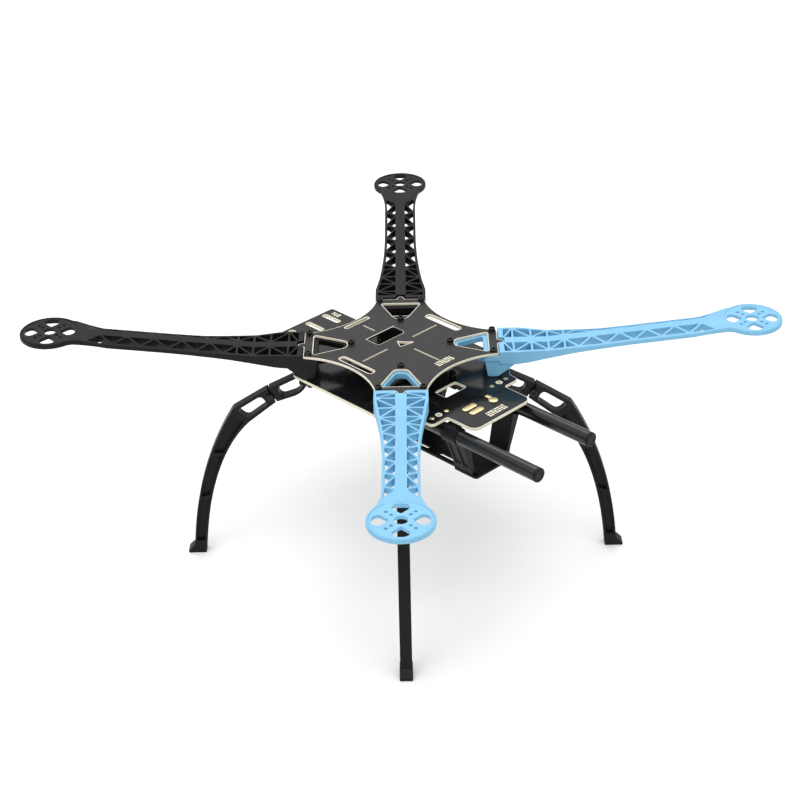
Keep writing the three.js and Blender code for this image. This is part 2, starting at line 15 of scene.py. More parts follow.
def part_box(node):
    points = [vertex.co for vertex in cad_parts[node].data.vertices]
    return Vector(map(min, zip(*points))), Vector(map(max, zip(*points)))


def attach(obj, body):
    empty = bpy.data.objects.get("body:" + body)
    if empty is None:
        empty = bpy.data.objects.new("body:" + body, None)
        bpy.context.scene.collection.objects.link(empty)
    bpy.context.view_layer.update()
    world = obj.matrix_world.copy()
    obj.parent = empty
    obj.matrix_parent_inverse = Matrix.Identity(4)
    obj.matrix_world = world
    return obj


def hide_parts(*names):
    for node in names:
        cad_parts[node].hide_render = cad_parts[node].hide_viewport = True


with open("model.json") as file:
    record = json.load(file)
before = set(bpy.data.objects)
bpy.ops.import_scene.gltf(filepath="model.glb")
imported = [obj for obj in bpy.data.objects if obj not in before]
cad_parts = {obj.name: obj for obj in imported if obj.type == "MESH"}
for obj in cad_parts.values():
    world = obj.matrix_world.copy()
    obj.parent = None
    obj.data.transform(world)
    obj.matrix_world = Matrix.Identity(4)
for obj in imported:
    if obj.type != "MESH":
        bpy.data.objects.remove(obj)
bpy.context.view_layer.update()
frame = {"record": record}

MM = 0.001
QUARTER = math.pi / 2
CORNERS = {"front_left": 45, "rear_left": 135, "rear_right": 225, "front_right": 315}
BLUE_CORNERS = ("front_left", "front_right")
SIDES = {"left": 1, "right": -1}
ENDS = ("front", "rear")
BODY_OF = {node: body for body, nodes in frame["record"]["behaviour"]["bodies"].items() for node in nodes}


def box_mm(node):
    low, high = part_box(node)
    return low / MM, high / MM


# ---------------------------------------------------------------- flat outlines
def tidy(loop):
    kept = []
    for point in loop:
        if not kept or (point - kept[-1]).length > 1e-3:
            kept.append(point)
    if (kept[0] - kept[-1]).length <= 1e-3:
        kept.pop()
    return kept


def fillet(points, radius=0.0, steps=5):
    """A closed loop through corner points (x, y) or (x, y, own radius), each corner rounded."""
    loop = []
    for i, corner in enumerate(points):
        here = Vector(corner[:2])
        back = Vector(points[i - 1][:2]) - here
        ahead = Vector(points[(i + 1) % len(points)][:2]) - here
        own = corner[2] if len(corner) > 2 else radius
        trim = min(own, back.length / 2, ahead.length / 2)
        if trim < 0.02:
            loop.append(here)
            continue
        start = here + back.normalized() * trim
        end = here + ahead.normalized() * trim
        for k in range(steps + 1):
            t = k / steps
            loop.append(start * (1 - t) ** 2 + here * (2 * t * (1 - t)) + end * t * t)
    return tidy(loop)


def oblong(x, y, length, width, radius=0.0, steps=5):
    a, b = length / 2, width / 2
    return fillet([(x - a, y - b), (x + a, y - b), (x + a, y + b), (x - a, y + b)], radius, steps)


def circle(x, y, radius, count=32, start=0.0):
    spots = [start + 2 * math.pi * k / count for k in range(count)]
    return [Vector((x + radius * math.cos(a), y + radius * math.sin(a))) for a in spots]


def turned(loop, degrees):
    turn = Matrix.Rotation(math.radians(degrees), 2)
    return [turn @ point for point in loop]


def area(loop):
    return sum(loop[i - 1].x * p.y - p.x * loop[i - 1].y for i, p in enumerate(loop)) / 2


def wound(loop, solid_inside):
    """The loop with its material on the left, whether the material is inside it or outside."""
    return loop if (area(loop) > 0) == solid_inside else loop[::-1]


def slants(loop):
    """How far each corner moves, and which way, for every millimetre its sides move to their left."""
    ways = []
    for i, here in enumerate(loop):
        before = (here - loop[i - 1]).normalized()
        after = (loop[(i + 1) % len(loop)] - here).normalized()
        left = Vector((-before.y, before.x))
        middle = left + Vector((-after.y, after.x))
        middle = middle.normalized() if middle.length > 1e-6 else left
        ways.append(middle / max(middle.dot(left), 0.4))
    return ways


def shifted(loop, distance):
    """The loop moved towards the material on its left."""
    return [here + way * distance for here, way in zip(loop, slants(loop))]


def reaches(loop, wanted):
    """The wanted distance at each corner, or less where a tight corner would fold over itself."""
    ways = slants(loop)
    allowed = [wanted(p) if callable(wanted) else wanted for p in loop]
    for i, here in enumerate(loop):
        side = here - loop[i - 1]
        closing = (ways[i - 1] - ways[i]).dot(side.normalized())
        if closing > 1e-6:
            limit = 0.8 * side.length / closing
            allowed[i] = min(allowed[i], limit)
            allowed[i - 1] = min(allowed[i - 1], limit)
    return allowed


# ---------------------------------------------------------------- solids
def sheet(outer, holes, bottom, top, edge=0.3, steps=3, bands=None):
    """A plate with rounded edges.

    bands gives each loop a strip of bare laminate of that width; below zero, its wall keeps the dark mask
    colour as painted shade.
    """
    bm = bmesh.new()
    loops = [wound(outer, True)] + [wound(hole, False) for hole in holes]
    turns = [QUARTER * k / steps for k in range(steps + 1)]
    levels = [(1 - math.cos(a), bottom, 1 - math.sin(a)) for a in reversed(turns)]
    levels += [(1 - math.cos(a), top, math.sin(a) - 1) for a in turns]
    caps = ([], [])
    for number, loop in enumerate(loops):
        ways = slants(loop)
        sizes = reaches(loop, edge)

        def row(shares, height, drop):
            spots = zip(loop, ways, shares, sizes)
            return [bm.verts.new((*(p + way * share), height + drop * size)) for p, way, share, size in spots]

        rows = [row([share * size for size in sizes], height, drop) for share, height, drop in levels]
        if bands:
            strip = reaches(loop, edge + abs(bands[number]))
            rows = [row(strip, bottom, 0), *rows, row(strip, top, 0)]
        for level, (low, high) in enumerate(zip(rows, rows[1:])):
            on_face = level in (0, len(rows) - 2)
            for i in range(len(low)):
                face = bm.faces.new((low[i - 1], low[i], high[i], high[i - 1]))
                # A band below zero leaves the wall in the dark mask colour: painted shade on that hole's
                # wall.
                face.material_index = 1 if bands and (bands[number] > 0 or on_face) else 0
        for cap, ring_row in zip(caps, (rows[0], rows[-1])):
            cap += [bm.edges.get((ring_row[i - 1], ring_row[i])) for i in range(len(ring_row))]
    for cap in caps:
        bmesh.ops.triangle_fill(bm, edges=cap, use_beauty=True, use_dissolve=False)
    bmesh.ops.recalc_face_normals(bm, faces=bm.faces)
    return bm


def lathe(profile, segments=48):
    """A turned solid about Z from (radius, height) points, closed at the axis or on itself."""
    bm = bmesh.new()
    rings = []
    for radius, height in profile:
        count = segments if radius > 1e-6 else 1
        spots = circle(0, 0, radius, count)
        rings.append([bm.verts.new((p.x, p.y, height)) for p in spots])
    hollow = profile[0][0] > 1e-6
    pairs = list(zip(rings, rings[1:])) + ([(rings[-1], rings[0])] if hollow else [])
    for low, high in pairs:
        for i in range(segments):
            if len(low) == 1 and len(high) == 1:
                continue
            if len(low) == 1:
                bm.faces.new((low[0], high[i], high[i - 1]))
            elif len(high) == 1:
                bm.faces.new((low[i - 1], low[i], high[0]))
            else:
                bm.faces.new((low[i - 1], low[i], high[i], high[i - 1]))
    bmesh.ops.recalc_face_normals(bm, faces=bm.faces)
    return bm


def placed(bm, matrix):
    bmesh.ops.transform(bm, matrix=matrix, verts=bm.verts)
    bmesh.ops.recalc_face_normals(bm, faces=bm.faces)
    return bm


def upright(bm, y=0.0):
    """A sheet drawn in X and Z: its thickness runs along Y, centred on y."""
    return placed(bm, Matrix(((1, 0, 0, 0), (0, 0, 1, y), (0, 1, 0, 0), (0, 0, 0, 1))))


def facing(bm, x=0.0):
    """A sheet drawn in Y and Z: its thickness runs along X from x."""
    return placed(bm, Matrix(((0, 0, 1, x), (1, 0, 0, 0), (0, 1, 0, 0), (0, 0, 0, 1))))


def moved(bm, x=0.0, y=0.0, z=0.0):
    return placed(bm, Matrix.Translation((x, y, z)))


def about(bm, x, degrees):
    """Turned about an upright line at x, so that two round solids never share an edge."""
    turn = Matrix.Rotation(math.radians(degrees), 4, "Z")
    return placed(bm, Matrix.Translation((x, 0, 0)) @ turn @ Matrix.Translation((-x, 0, 0)))


def loose(bm, name="work"):
    mesh = bpy.data.meshes.new(name)
    bm.to_mesh(mesh)
    bm.free()
    body = bpy.data.objects.new(name, mesh)
    bpy.context.scene.collection.objects.link(body)
    return body


def combined(base, operation, *tools):
    """base joined with ("UNION") or cut by ("DIFFERENCE") the other solids, as a new bmesh."""
    body = loose(base)
    helpers = [loose(tool) for tool in tools]
    for helper in helpers:
        step = body.modifiers.new("boolean", "BOOLEAN")
        step.operation, step.solver, step.object = operation, "EXACT", helper
    seen = body.evaluated_get(bpy.context.evaluated_depsgraph_get())
    result = bmesh.new()
    result.from_mesh(seen.to_mesh())
    seen.to_mesh_clear()
    for spare in [body, *helpers]:
        bpy.data.objects.remove(spare)
    bmesh.ops.remove_doubles(result, verts=result.verts, dist=1e-3)
    gaps = [edge for edge in result.edges if len(edge.link_faces) == 1]
    bmesh.ops.holes_fill(result, edges=gaps, sides=8)
    return result


def finished(bm, name, materials):
    """A mesh in metres with smooth rounded edges and crisp corners."""
    bmesh.ops.scale(bm, vec=(MM, MM, MM), verts=bm.verts)
    mesh = bpy.data.meshes.new(name)
    bm.to_mesh(mesh)
    bm.free()
    for material in materials:
        mesh.materials.append(material)
    mesh.shade_smooth()
    mesh.set_sharp_from_angle(angle=math.radians(38))
    return mesh


def stand_for(node, mesh, matrix=None):
    """A finer piece in place of a CAD node, riding with the same body."""
    piece = bpy.data.objects.new(f"{node}_fine", mesh)
    bpy.context.scene.collection.objects.link(piece)
    if matrix is not None:
        piece.matrix_world = matrix
    weighted = piece.modifiers.new("weighted", "WEIGHTED_NORMAL")
    weighted.keep_sharp = True
    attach(piece, BODY_OF[node])
    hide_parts(node)
    return piece


def trim(name, mesh, node):
    """A small visual-only piece that rides with a CAD node."""
    piece = bpy.data.objects.new(name, mesh)
    bpy.context.scene.collection.objects.link(piece)
    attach(piece, BODY_OF[node])
    return piece


def merged(solids):
    """Several separate solids as one bmesh."""
    total = bmesh.new()
    for solid in solids:
        mesh = bpy.data.meshes.new("part")
        solid.to_mesh(mesh)
        solid.free()
        total.from_mesh(mesh)
        bpy.data.meshes.remove(mesh)
    return total


# ---------------------------------------------------------------- materials
class Nodes:
    """A material's node tree, with short calls for the nodes that repeat."""

    def __init__(self, name):
        self.material = bpy.data.materials.new(name)
        self.material.use_nodes = True
        self.tree = self.material.node_tree
        self.shader = self.tree.nodes["Principled BSDF"]
        self.place = self.new("ShaderNodeTexCoord").outputs["Object"]

    def new(self, kind):
        return self.tree.nodes.new(kind)

    def link(self, source, target):
        self.tree.links.new(source, target)

    def noise(self, size_mm, detail=3.0, stretch=(1, 1, 1)):
        """Noise with blobs about size_mm across, longer along an axis whose stretch is small."""
        mapping = self.new("ShaderNodeMapping")
        mapping.inputs["Scale"].default_value = stretch
        self.link(self.place, mapping.inputs["Vector"])
        noise = self.new("ShaderNodeTexNoise")
        noise.inputs["Scale"].default_value = 1000 / size_mm
        noise.inputs["Detail"].default_value = detail
        self.link(mapping.outputs["Vector"], noise.inputs["Vector"])
        return noise.outputs["Fac"]

    def mix(self, share, first, second):
        mix = self.new("ShaderNodeMix")
        mix.data_type = "RGBA"
        mix.inputs["A"].default_value = (*first, 1) if isinstance(first, tuple) else (0, 0, 0, 1)
        mix.inputs["B"].default_value = (*second, 1) if isinstance(second, tuple) else (0, 0, 0, 1)
        if not isinstance(first, tuple):
            self.link(first, mix.inputs["A"])
        if not isinstance(second, tuple):
            self.link(second, mix.inputs["B"])
        self.link(share, mix.inputs["Factor"])
        return mix.outputs["Result"]

    def spread(self, value, low, high, start=0.3, stop=0.7):
        """value from start..stop mapped to low..high."""
        ramp = self.new("ShaderNodeMapRange")
        for socket, number in (("From Min", start), ("From Max", stop), ("To Min", low), ("To Max", high)):
            ramp.inputs[socket].default_value = number
        self.link(value, ramp.inputs["Value"])
        return ramp.outputs["Result"]

    def maths(self, operation, first, second):
        node = self.new("ShaderNodeMath")
        node.operation = operation
        for socket, value in zip(node.inputs, (first, second)):
            if isinstance(value, (int, float)):
                socket.default_value = value
            else:
                self.link(value, socket)
        return node.outputs["Value"]

    def bump(self, height, strength, distance_mm):
        bump = self.new("ShaderNodeBump")
        bump.inputs["Strength"].default_value = strength
        bump.inputs["Distance"].default_value = distance_mm * MM
        self.link(height, bump.inputs["Height"])
        self.link(bump.outputs["Normal"], self.shader.inputs["Normal"])

    def set(self, **values):
        for name, value in values.items():
            socket = self.shader.inputs[name.replace("_", " ")]
            socket.default_value = (*value, 1) if isinstance(value, tuple) else value


def nylon(name, colour, pale, rough, specular):
    """Moulded glass-filled nylon: fine grain, faint flow streaks and a slightly uneven gloss."""
    m = Nodes(name)
    streaks = m.spread(m.noise(14, 4, (1, 1, 0.4)), 0.0, 1.0)
    m.link(m.mix(streaks, colour, pale), m.shader.inputs["Base Color"])
    m.link(m.spread(m.noise(3, 3), rough - 0.06, rough + 0.06), m.shader.inputs["Roughness"])
    grain = m.maths("ADD", m.noise(0.35, 2), m.maths("MULTIPLY", m.noise(1.6, 2), 0.5))
    m.bump(grain, 0.22, 0.05)
    m.set(Specular_IOR_Level=specular)
    return m.material


def weave_height(m, pitch_mm):
    """Crossing yarns of glass cloth under a lacquer."""
    waves = []
    for axis in ("X", "Y"):
        wave = m.new("ShaderNodeTexWave")
        wave.bands_direction = axis
        wave.inputs["Scale"].default_value = 1000 / pitch_mm / 20 * math.pi
        wave.inputs["Distortion"].default_value = 0.6
        wave.inputs["Detail"].default_value = 1.0
        m.link(m.place, wave.inputs["Vector"])
        waves.append(wave.outputs["Fac"])
    return m.maths("MULTIPLY", *waves)


def lacquer(name, colour, pale, rough, specular):
    """Solder mask over glass cloth."""
    m = Nodes(name)
    m.link(m.mix(m.spread(m.noise(9, 4), 0.0, 1.0), colour, pale), m.shader.inputs["Base Color"])
    m.link(m.spread(m.noise(2.5, 3), rough - 0.05, rough + 0.05), m.shader.inputs["Roughness"])
    m.bump(m.maths("ADD", weave_height(m, 1.1), m.noise(0.5, 2)), 0.06, 0.03)
    m.set(Specular_IOR_Level=specular)
    return m.material


def laminate():
    """The bare cut edge of glass-fibre laminate: cream, with faint plies."""
    m = Nodes("bare_laminate")
    plies = m.spread(m.noise(0.5, 3, (0.05, 0.05, 1)), 0.0, 1.0)
    m.link(m.mix(plies, (0.66, 0.60, 0.46), (0.80, 0.75, 0.62)), m.shader.inputs["Base Color"])
    m.link(m.spread(m.noise(1.2, 3), 0.45, 0.65), m.shader.inputs["Roughness"])
    m.bump(m.noise(0.3, 2), 0.2, 0.04)
    return m.material


def gold():
    """Gold-plated copper pads with a fine brushed unevenness."""
    m = Nodes("gold_plate")
    m.link(m.mix(m.noise(2.2, 3), (0.80, 0.58, 0.27), (0.94, 0.77, 0.45)), m.shader.inputs["Base Color"])
    m.link(m.spread(m.noise(0.8, 3), 0.24, 0.42), m.shader.inputs["Roughness"])
    m.bump(m.noise(0.6, 2), 0.15, 0.03)
    m.set(Metallic=0.85)
    return m.material


def tube():
    """Wound black tube: fine turns round the axis and a satin lacquer."""
    m = Nodes("rail_tube")
    turns = m.noise(1.4, 3, (1, 0.12, 0.12))
    m.link(m.mix(m.spread(turns, 0.0, 1.0), (0.004, 0.004, 0.0045), (0.010, 0.010, 0.011)),
           m.shader.inputs["Base Color"])
    m.link(m.spread(m.noise(4, 3), 0.16, 0.24), m.shader.inputs["Roughness"])
    m.bump(turns, 0.05, 0.02)
    m.set(Specular_IOR_Level=0.45)
    return m.material


def steel():
    """Black oxide on steel screws, worn a little brighter in patches."""
    m = Nodes("black_steel")
    m.link(m.mix(m.spread(m.noise(0.9, 4), 0.0, 1.0, 0.45, 0.8), (0.010, 0.010, 0.011), (0.05, 0.05, 0.052)),
           m.shader.inputs["Base Color"])
    m.link(m.spread(m.noise(0.7, 3), 0.30, 0.46), m.shader.inputs["Roughness"])
    m.bump(m.noise(0.25, 2), 0.15, 0.02)
    m.set(Metallic=0.6)
    return m.material


MATERIAL = {
    "blue_nylon": nylon("blue_nylon", (0.175, 0.43, 0.64), (0.195, 0.455, 0.665), 0.5, 0.4),
    "black_nylon": nylon("black_nylon", (0.005, 0.005, 0.0055), (0.008, 0.008, 0.0085), 0.42, 0.16),
    "top_laminate": lacquer("top_laminate", (0.014, 0.014, 0.0148), (0.018, 0.018, 0.019), 0.5, 0.35),
    "board_laminate": lacquer("board_laminate", (0.004, 0.005, 0.006), (0.007, 0.008, 0.009), 0.14, 0.4),
    "rail_tube": tube(),
    "black_steel": steel(),
}
BARE = laminate()
GOLD = gold()

# ---------------------------------------------------------------- top plate
PLATE_LOW, PLATE_HIGH = box_mm("top_plate")
PLATE_REACH, PLATE_TONGUE, PLATE_WAIST = 66.5, 17.0, 47.7
MARK_PITCH = 2.2
SCREW_IN, SCREW_OUT, SCREW_SPREAD = 34.0, 63.2, 15.0
SCREW_HOLE = 1.55


def plate_outline():
    waist = PLATE_WAIST / math.sqrt(2)
    a, b = PLATE_REACH, PLATE_TONGUE
    hub = (a * a + b * b - 2 * waist * waist) / (2 * (a + b - 2 * waist))
    radius = math.sqrt(2) * (hub - waist)
    half = math.atan2(hub - b, hub - a) - math.pi / 4
    side = [Vector(p) for p in ((a, -b), (a, -3), (a + 4, -1.4), (a + 4, 1.4), (a, 3), (a, b))]
    for k in range(1, 36):
        angle = 1.25 * math.pi + half - 2 * half * k / 36
        side.append(Vector((hub + radius * math.cos(angle), hub + radius * math.sin(angle))))
    return [point for quarter in range(4) for point in turned(side, 90 * quarter)]


def top_plate():
    quarter = [
        (fillet([(37, -4.2), (60, -14.2), (60, 14.2), (37, 4.2)], 3), 0.4),
        (circle(SCREW_IN, 0, SCREW_HOLE), 0.35),
        (circle(SCREW_OUT, SCREW_SPREAD, SCREW_HOLE), 0.35),
        (circle(SCREW_OUT, -SCREW_SPREAD, SCREW_HOLE), 0.35),
    ]
    holes = [(turned(loop, 45 + 90 * k), band) for k in range(4) for loop, band in quarter]
    holes += [
        (oblong(0, 42, 31, 5, 2.5), 0.6),
        (oblong(0, -42, 31, 5, 2.5), 0.6),
        (oblong(-44, 0.5, 2.6, 22, 1.3), 0.5),
        # The wire hole's wall keeps the dark mask colour: painted shade in place of bare laminate.
        (oblong(-15.5, 0.7, 12, 26, 3), -0.25),
        (oblong(24, 0.6, 23, 1.0, 0.3), 0.05),
        (oblong(-32, 0.6, 11, 1.0, 0.3), 0.05),
        (oblong(-0.6, 24, 1.0, 23, 0.3), 0.05),
        (oblong(-0.6, -24, 1.0, 23, 0.3), 0.05),
        (fillet([(-3.5, 0.5), (3, -3.1), (5, 7), (1, 3.2)], 0.6), 0.5),
    ]
    bands = [0.35] + [band for _, band in holes]
    outline = turned(plate_outline(), 45)
    plate = sheet(outline, [loop for loop, _ in holes], PLATE_LOW.z, PLATE_HIGH.z, 0.12, 2, bands)
    stand_for("top_plate", finished(plate, "top_plate", [MATERIAL["top_laminate"], BARE]))
    bars = hatch(39.5, 2, 6, 16, PLATE_HIGH.z) + [ink(-21.5, 1, 0.5, 28, PLATE_HIGH.z)]
    trim("top_plate_print", finished(merged(bars), "top_plate_print", [BARE]), "top_plate")


def ink(x, y, length, width, height):
    """One printed bar, a hair thicker than nothing, on a board."""
    return sheet(oblong(x, y, length, width, 0.2, 2), [], height, height + 0.06, 0.02, 1)


def hatch(x, y, length, width, height):
    """A block of short printed marks in three lines, standing for lettering without spelling any."""
    marks = []
    columns = int(width / MARK_PITCH)
    for line in range(3):
        for k in range(columns):
            mark_width = 0.9 if (k * 2 + line) % 3 == 0 else 1.7
            along = x + (line - 1) * length / 3
            across = y + (k - (columns - 1) / 2) * MARK_PITCH
            marks.append(ink(along, across, length / 4, mark_width, height))
    return marks


# ---------------------------------------------------------------- bottom board
BOARD_LOW, BOARD_HIGH = box_mm("bottom_board")
HANGER_X = (34.0, -34.0)
HANGER_SCREW_Y = 15.5
BLOCK_SCREW, BLOCK_SPREAD = 62.8, 11.5


def board_outline():
    front, rear, tongue, side = BOARD_HIGH.x, BOARD_LOW.x, 28, BOARD_HIGH.y
    right = [(front, -tongue, 7), (71, -tongue, 2), (71, -42.5, 5), (63, -42.5, 3), (46, -side, 2),
             (-46, -side, 2), (-63, -42.5, 3), (-71, -42.5, 5), (-71, -tongue, 2), (rear, -tongue, 3)]
    left = [(x, -y, radius) for x, y, radius in reversed(right)]
    return fillet(right + left, steps=6)


def bottom_board():
    holes = [(oblong(47, 0, 10.5, 20, 2), 0.4)]
    holes += [(oblong(-88, y, 16, 3.4, 1.5), 0.5) for y in (-16.5, 0, 16.5)]
    for side in (-1, 1):
        holes += [(circle(x, side * 29.6, 1.6), 0.7) for x in (64.5, -64.5)]
        holes += [(circle(x, side * HANGER_SCREW_Y, SCREW_HOLE), 0.5) for x in HANGER_X]
        holes += [(turned(circle(BLOCK_SCREW, side * BLOCK_SPREAD, SCREW_HOLE), turn), 0.5)
                  for turn in CORNERS.values()]
    bands = [0.3] + [band for _, band in holes]
    board = sheet(board_outline(), [loop for loop, _ in holes], BOARD_LOW.z, BOARD_HIGH.z, 0.12, 2, bands)
    stand_for("bottom_board", finished(board, "bottom_board", [MATERIAL["board_laminate"], BARE]))
    top = BOARD_HIGH.z
    pads = []
    for side in (-1, 1):
        for x in (64.5, -64.5):
            pads += [pad(circle(x, side * y, radius), top) for y, radius in ((22.4, 1.7), (36.2, 1.7))]
    pads += [pad(oblong(x, -8.5, 4.6, 12, 2.3), top) for x in (72.5, 79)]
    pads += [pad(circle(77.5, 9.5, 3.2), top), pad(oblong(72, 10.5, 4, 3, 0.6), top)]
    trim("board_pads", finished(merged(pads), "board_pads", [GOLD]), "bottom_board")
    bars = hatch(88.5, 0.5, 6, 18, top) + hatch(-90, 23, 8, 5, top)
    trim("board_print", finished(merged(bars), "board_print", [BARE]), "bottom_board")


def pad(loop, height):
    return sheet(loop, [], height, height + 0.08, 0.04, 2)


# ---------------------------------------------------------------- arms
PAD_AT, PAD_RADIUS, PAD_TOP = 240.0, 20.5, box_mm("arm_front_left")[1].z
PAD_THICK, PAD_FLOOR = 4.0, 2.8
PAD_HOLLOW, PAD_DISH, DISH_DEEP = 18.2, 19.3, 0.6
ROOT_TOP, ROOT_THICK, ROOT_WIDE = PLATE_LOW.z - 0.3, 4.1, 18.0
DECK_START, SPINE, WALL, BAR = 67.0, 3.8, 2.0, 1.7
LEVEL = 1000.0
DECK_RISE = ((100, 169.3), (223, PAD_TOP))
SHOULDER_DROP = ((85, 0), (135, 3.1), (205, 3.1), (223, 0))
KEEL = ((78, 159.6), (87, 160.1), (118, 164.8), (160, 169.9), (200, 174.4), (223, PAD_TOP - PAD_THICK))
POST_BAYS = (70, 77, 89.5, 101, 112)
LAST_WINDOW = 215.0
WARREN_BAYS = 11


def through(stops, at):
    """The value at a place on a line through (place, value) stops."""
    if at <= stops[0][0]:
        return stops[0][1]
    for (x0, y0), (x1, y1) in zip(stops, stops[1:]):
        if at <= x1:
            return y0 + (y1 - y0) * (at - x0) / (x1 - x0)
    return stops[-1][1]


def arm_half_width(x):
    root = min(max((x - 80) / 85, 0), 1)
    return 11.7 + (ROOT_WIDE - 11.7) * (1 - root) ** 2 + 0.008 * max(x - 205, 0) ** 2


def arm_outline():
    side = []
    x = DECK_START
    while math.hypot(PAD_AT - x, arm_half_width(x)) > PAD_RADIUS:
        side.append(Vector((x, -arm_half_width(x))))
        x += 1.5
    start = math.atan2(-arm_half_width(x), x - PAD_AT)
    rim = [start + (-2 * start) * k / 64 for k in range(65)]
    arc = [Vector((PAD_AT + PAD_RADIUS * math.cos(a), PAD_RADIUS * math.sin(a))) for a in rim]
    return tidy(side + arc + [Vector((p.x, -p.y)) for p in reversed(side)])


def truss_windows():
    """Triangles between the bars, on both sides of the spine."""
    near = SPINE - BAR / 2

    def far(x):
        return arm_half_width(x) - WALL + BAR / 2

    triangles = []
    for i, (x0, x1) in enumerate(zip(POST_BAYS, POST_BAYS[1:])):
        high, low = (x0, x1) if i % 2 else (x1, x0)
        triangles.append([(x0, near), (x1, near), (high, far(high))])
        triangles.append([(x0, far(x0)), (x1, far(x1)), (low, near)])
    step = (LAST_WINDOW - POST_BAYS[-1]) / WARREN_BAYS
    for i in range(WARREN_BAYS):
        x0, x1, x2 = (POST_BAYS[-1] + (i + k) * step for k in (-1, 0, 1))
        start = x1 if i == 0 else x0
        tip = start if i == 0 else x1
        if i % 2:
            triangles.append([(start, near), (x2, near), (tip, far(tip))])
        else:
            triangles.append([(start, far(start)), (x2, far(x2)), (tip, near)])
    windows = []
    for corners in triangles:
        inside = shifted(wound([Vector(c) for c in corners], True), BAR / 2)
        mirrored = [Vector((p.x, -p.y)) for p in inside]
        windows += [fillet([tuple(p) for p in loop], 0.9, 3) for loop in (inside, mirrored)]
    return windows


def pad_openings():
    half = [(13, 6.3, 2.4), (17.4, 3.4, 2.6)]
    wedge = fillet([(6.6, 0, 1)] + [(x, -y, radius) for x, y, radius in half] + half[::-1], steps=5)
    loops = [circle(0, 0, 4.3, 36)]
    for quarter in range(4):
        loops.append(turned(wedge, 90 * quarter))
        loops += [turned(circle(radius, 0, 1.2, 20), 45 + 90 * quarter) for radius in (8, 12.2)]
    return [[p + Vector((PAD_AT, 0)) for p in loop] for loop in loops]


def deck_top(x, y):
    edge = (abs(y) - SPINE) / (arm_half_width(x) - SPINE)
    return through(DECK_RISE, x) - through(SHOULDER_DROP, x) * min(max(edge, 0), 1)


def arm_beam():
    def rounding(p):
        return 0.45 if p.x < 212 else min(0.45 + (p.x - 212) * 0.045, 1.15)

    def edge(p):
        inside_pad = math.hypot(p.x - PAD_AT, p.y) < PAD_RADIUS - 1
        beside = abs(p.y) < arm_half_width(min(p.x, 226)) - 1
        return 0.28 if (inside_pad or (p.x < 226 and beside)) else rounding(p)

    bm = sheet(arm_outline(), truss_windows() + pad_openings(), 0, LEVEL, edge, 3)
    cuts = [(Vector((0, s * SPINE, 0)), Vector((0, 1, 0))) for s in (-1, 1)]
    cuts += [(Vector((x, 0, 0)), Vector((1, 0, 0))) for x in [70 + 5 * k for k in range(32)]]
    for spot, normal in cuts:
        geometry = bm.verts[:] + bm.edges[:] + bm.faces[:]
        bmesh.ops.bisect_plane(bm, geom=geometry, dist=1e-3, plane_co=spot, plane_no=normal)
    for v in bm.verts:
        if v.co.z > LEVEL / 2:
            v.co.z += deck_top(v.co.x, v.co.y) - LEVEL
        else:
            v.co.z += through(KEEL, v.co.x)
    return bm


def arm():
    floor = ROOT_TOP - ROOT_THICK
    plan = [(30.5, -4.5, 1), (33, -6.6, 1), (57, -ROOT_WIDE, 1), (68, -ROOT_WIDE), (68, ROOT_WIDE),
            (57, ROOT_WIDE, 1), (33, 6.6, 1), (30.5, 4.5, 1)]
    opening = fillet([(39.3, -3.2), (56.7, -11.4), (56.7, 11.4), (39.3, 3.2)], 2)
    root = sheet(fillet(plan), [opening, circle(SCREW_IN, 0, SCREW_HOLE)], floor, ROOT_TOP, 0.4)
    foot = BOARD_HIGH.z + 0.3
    side = fillet([(56.7, floor + 1), (59.3, foot, 1.2), (66.3, foot, 1.2), (78.4, 159.7, 1.5),
                   (78.4, floor + 1)])
    block = upright(sheet(side, [], -17.3, 17.3, 0.6))
    body = combined(arm_beam(), "UNION", root, block)
    hollow_top = PAD_THICK - PAD_FLOOR + 1
    cavity = lathe([(0, 0), (PAD_HOLLOW, 0), (PAD_HOLLOW, hollow_top), (0, hollow_top)])
    cavity = about(moved(cavity, PAD_AT, 0, PAD_TOP - PAD_THICK - 1), PAD_AT, 1.7)
    dish = lathe([(0, 0), (PAD_DISH - 0.6, 0), (PAD_DISH, DISH_DEEP), (PAD_DISH, 3), (0, 3)], 60)
    dish = about(moved(dish, PAD_AT, 0, PAD_TOP - DISH_DEEP), PAD_AT, 2.3)
    pocket = sheet(oblong(62.5, 0, 15, 15, 1.5), [], BOARD_HIGH.z + 3, floor - 1.5, 0.5)
    notch = sheet(oblong(68.6, 0, 5.2, 6.8, 0.4), [], ROOT_TOP, 175, 0.1, 1)
    holes = []
    for s in (-1, 1):
        for x, y, low, high in ((SCREW_OUT, SCREW_SPREAD, ROOT_TOP - 7, 170),
                                (BLOCK_SCREW, BLOCK_SPREAD, 148, BOARD_HIGH.z + 8.5)):
            holes.append(sheet(circle(x, s * y, SCREW_HOLE, 20), [], low, high, 0.05, 1))
    return combined(body, "DIFFERENCE", cavity, dish, pocket, notch, *holes)


# ---------------------------------------------------------------- legs
FOOT_TOP = BOARD_LOW.z - 0.3
FLANGE = 2.8
LEG_HALF = 4.0
BOLT_AT = (91.6, 129.8)
LEG_KINK = 0.22
OUTER_TOP = (Vector((93.6, 135.6)), Vector((118.6, 120)))
OUTER_BEND = (Vector((118.6, 120)), Vector((149, 70.5)), Vector((153.4, 3)))
INNER_TOP = (Vector((88.2, 125)), Vector((107.2, 109.8)))
INNER_BEND = (Vector((107.2, 109.8)), Vector((137.2, 81)), Vector((144.9, 3)))


def bolt_hole():
    return upright(sheet(circle(*BOLT_AT, 1.7, 24), [], -9, 9, 0.05, 1))


